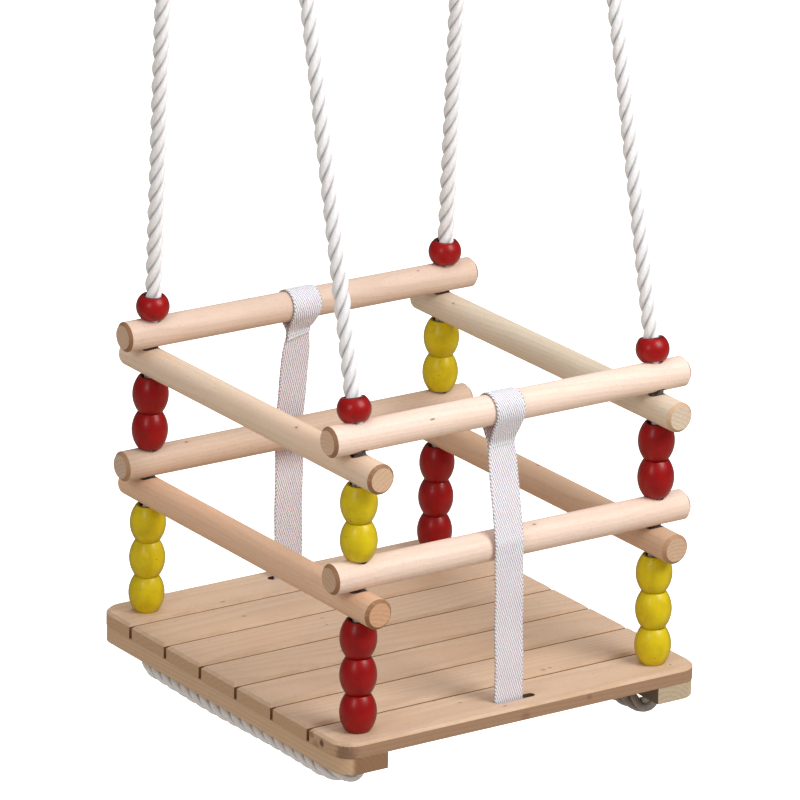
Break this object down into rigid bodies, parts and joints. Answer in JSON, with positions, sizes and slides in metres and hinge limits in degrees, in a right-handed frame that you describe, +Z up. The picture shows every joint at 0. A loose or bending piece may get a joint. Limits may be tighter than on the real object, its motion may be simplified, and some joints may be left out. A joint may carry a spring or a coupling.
{
  "type": "toddler swing",
  "caption": "Wooden lattice toddler swing: slatted seat inside a cage of round rails and turned beads, hung on ropes from steel rings, with a webbing strap.",
  "frame": {"origin": "centre of the seat's upper face, on the middle slat", "axes": "+X to the sitter's left as seen from the front (right side of the swing), +Y to the rear of the seat, +Z up along the seat's normal"},
  "size_m": [0.334, 0.355, 1.3506],
  "materials": {
    "seat_wood": "sanded, clear matt finish",
    "batten_wood": "sanded, clear matt finish",
    "rail_wood": "sanded, clear matt finish",
    "red_lacquer": "gloss lacquer over turned wood",
    "yellow_lacquer": "gloss lacquer over turned wood",
    "white_rope": "three-strand laid polypropylene, slight gloss",
    "white_webbing": "woven polyester webbing",
    "zinc_steel": "bright zinc plate",
    "sleeve_aluminium": "satin"
  },
  "bodies": {
    "hangers": {"left_ring": "zinc_steel", "right_ring": "zinc_steel"},
    "seat": {"rear_slat": "seat_wood", "slat_2": "seat_wood", "slat_3": "seat_wood", "middle_slat": "seat_wood", "slat_5": "seat_wood", "slat_6": "seat_wood", "front_slat": "seat_wood", "left_batten": "batten_wood", "right_batten": "batten_wood", "left_batten_screws": "zinc_steel", "right_batten_screws": "zinc_steel", "front_lower_rail": "rail_wood", "rear_lower_rail": "rail_wood", "left_lower_rail": "rail_wood", "right_lower_rail": "rail_wood", "front_top_rail": "rail_wood", "rear_top_rail": "rail_wood", "left_top_rail": "rail_wood", "right_top_rail": "rail_wood", "left_rope": "white_rope", "right_rope": "white_rope", "left_rope_sleeve": "sleeve_aluminium", "right_rope_sleeve": "sleeve_aluminium", "webbing_strap": "white_webbing"},
    "front_left_ball": {"front_left_ball": "red_lacquer"},
    "front_right_ball": {"front_right_ball": "red_lacquer"},
    "rear_left_ball": {"rear_left_ball": "red_lacquer"},
    "rear_right_ball": {"rear_right_ball": "red_lacquer"},
    "front_left_bead_1": {"front_left_bead_1": "red_lacquer"},
    "front_left_bead_2": {"front_left_bead_2": "red_lacquer"},
    "front_left_bead_3": {"front_left_bead_3": "red_lacquer"},
    "front_left_bead_4": {"front_left_bead_4": "yellow_lacquer"},
    "front_left_bead_5": {"front_left_bead_5": "yellow_lacquer"},
    "front_right_bead_1": {"front_right_bead_1": "yellow_lacquer"},
    "front_right_bead_2": {"front_right_bead_2": "yellow_lacquer"},
    "front_right_bead_3": {"front_right_bead_3": "yellow_lacquer"},
    "front_right_bead_4": {"front_right_bead_4": "red_lacquer"},
    "front_right_bead_5": {"front_right_bead_5": "red_lacquer"},
    "rear_left_bead_1": {"rear_left_bead_1": "yellow_lacquer"},
    "rear_left_bead_2": {"rear_left_bead_2": "yellow_lacquer"},
    "rear_left_bead_3": {"rear_left_bead_3": "yellow_lacquer"},
    "rear_left_bead_4": {"rear_left_bead_4": "red_lacquer"},
    "rear_left_bead_5": {"rear_left_bead_5": "red_lacquer"},
    "rear_right_bead_1": {"rear_right_bead_1": "red_lacquer"},
    "rear_right_bead_2": {"rear_right_bead_2": "red_lacquer"},
    "rear_right_bead_3": {"rear_right_bead_3": "red_lacquer"},
    "rear_right_bead_4": {"rear_right_bead_4": "yellow_lacquer"},
    "rear_right_bead_5": {"rear_right_bead_5": "yellow_lacquer"}
  },
  "joints": [
    {"name": "swing", "type": "hinge", "parent": "hangers", "child": "seat", "pos_m": [0, 0.097, 1.25695], "axis": [1, 0, 0], "range_deg": [-40, 40]},
    {"name": "slide_front_left_ball", "type": "slide", "parent": "seat", "child": "front_left_ball", "axis": [0, 0.2313, 0.9729], "range_m": [0, 0.88]},
    {"name": "slide_front_right_ball", "type": "slide", "parent": "seat", "child": "front_right_ball", "axis": [0, 0.2313, 0.9729], "range_m": [0, 0.88]},
    {"name": "slide_rear_left_ball", "type": "slide", "parent": "seat", "child": "rear_left_ball", "axis": [0, -0.0427, 0.9991], "range_m": [0, 0.88]},
    {"name": "slide_rear_right_ball", "type": "slide", "parent": "seat", "child": "rear_right_ball", "axis": [0, -0.0427, 0.9991], "range_m": [0, 0.88]},
    {"name": "turn_front_left_bead_1", "type": "hinge", "parent": "seat", "child": "front_left_bead_1", "pos_m": [-0.1375, -0.15066, 0.01485], "axis": [0, 0, 1], "continuous": true},
    {"name": "turn_front_left_bead_2", "type": "hinge", "parent": "seat", "child": "front_left_bead_2", "pos_m": [-0.1375, -0.14999, 0.04445], "axis": [0, 0, 1], "continuous": true},
    {"name": "turn_front_left_bead_3", "type": "hinge", "parent": "seat", "child": "front_left_bead_3", "pos_m": [-0.1375, -0.14932, 0.07405], "axis": [0, 0, 1], "continuous": true},
    {"name": "turn_front_left_bead_4", "type": "hinge", "parent": "seat", "child": "front_left_bead_4", "pos_m": [-0.1375, -0.14755, 0.15185], "axis": [0, 0, 1], "continuous": true},
    {"name": "turn_front_left_bead_5", "type": "hinge", "parent": "seat", "child": "front_left_bead_5", "pos_m": [-0.1375, -0.14688, 0.18145], "axis": [0, 0, 1], "continuous": true},
    {"name": "turn_front_right_bead_1", "type": "hinge", "parent": "seat", "child": "front_right_bead_1", "pos_m": [0.1375, -0.15066, 0.01485], "axis": [0, 0, 1], "continuous": true},
    {"name": "turn_front_right_bead_2", "type": "hinge", "parent": "seat", "child": "front_right_bead_2", "pos_m": [0.1375, -0.14999, 0.04445], "axis": [0, 0, 1], "continuous": true},
    {"name": "turn_front_right_bead_3", "type": "hinge", "parent": "seat", "child": "front_right_bead_3", "pos_m": [0.1375, -0.14932, 0.07405], "axis": [0, 0, 1], "continuous": true},
    {"name": "turn_front_right_bead_4", "type": "hinge", "parent": "seat", "child": "front_right_bead_4", "pos_m": [0.1375, -0.14755, 0.15185], "axis": [0, 0, 1], "continuous": true},
    {"name": "turn_front_right_bead_5", "type": "hinge", "parent": "seat", "child": "front_right_bead_5", "pos_m": [0.1375, -0.14688, 0.18145], "axis": [0, 0, 1], "continuous": true},
    {"name": "turn_rear_left_bead_1", "type": "hinge", "parent": "seat", "child": "rear_left_bead_1", "pos_m": [-0.1375, 0.15066, 0.01485], "axis": [0, 0, 1], "continuous": true},
    {"name": "turn_rear_left_bead_2", "type": "hinge", "parent": "seat", "child": "rear_left_bead_2", "pos_m": [-0.1375, 0.14999, 0.04445], "axis": [0, 0, 1], "continuous": true},
    {"name": "turn_rear_left_bead_3", "type": "hinge", "parent": "seat", "child": "rear_left_bead_3", "pos_m": [-0.1375, 0.14932, 0.07405], "axis": [0, 0, 1], "continuous": true},
    {"name": "turn_rear_left_bead_4", "type": "hinge", "parent": "seat", "child": "rear_left_bead_4", "pos_m": [-0.1375, 0.14755, 0.15185], "axis": [0, 0, 1], "continuous": true},
    {"name": "turn_rear_left_bead_5", "type": "hinge", "parent": "seat", "child": "rear_left_bead_5", "pos_m": [-0.1375, 0.14688, 0.18145], "axis": [0, 0, 1], "continuous": true},
    {"name": "turn_rear_right_bead_1", "type": "hinge", "parent": "seat", "child": "rear_right_bead_1", "pos_m": [0.1375, 0.15066, 0.01485], "axis": [0, 0, 1], "continuous": true},
    {"name": "turn_rear_right_bead_2", "type": "hinge", "parent": "seat", "child": "rear_right_bead_2", "pos_m": [0.1375, 0.14999, 0.04445], "axis": [0, 0, 1], "continuous": true},
    {"name": "turn_rear_right_bead_3", "type": "hinge", "parent": "seat", "child": "rear_right_bead_3", "pos_m": [0.1375, 0.14932, 0.07405], "axis": [0, 0, 1], "continuous": true},
    {"name": "turn_rear_right_bead_4", "type": "hinge", "parent": "seat", "child": "rear_right_bead_4", "pos_m": [0.1375, 0.14755, 0.15185], "axis": [0, 0, 1], "continuous": true},
    {"name": "turn_rear_right_bead_5", "type": "hinge", "parent": "seat", "child": "rear_right_bead_5", "pos_m": [0.1375, 0.14688, 0.18145], "axis": [0, 0, 1], "continuous": true}
  ]
}
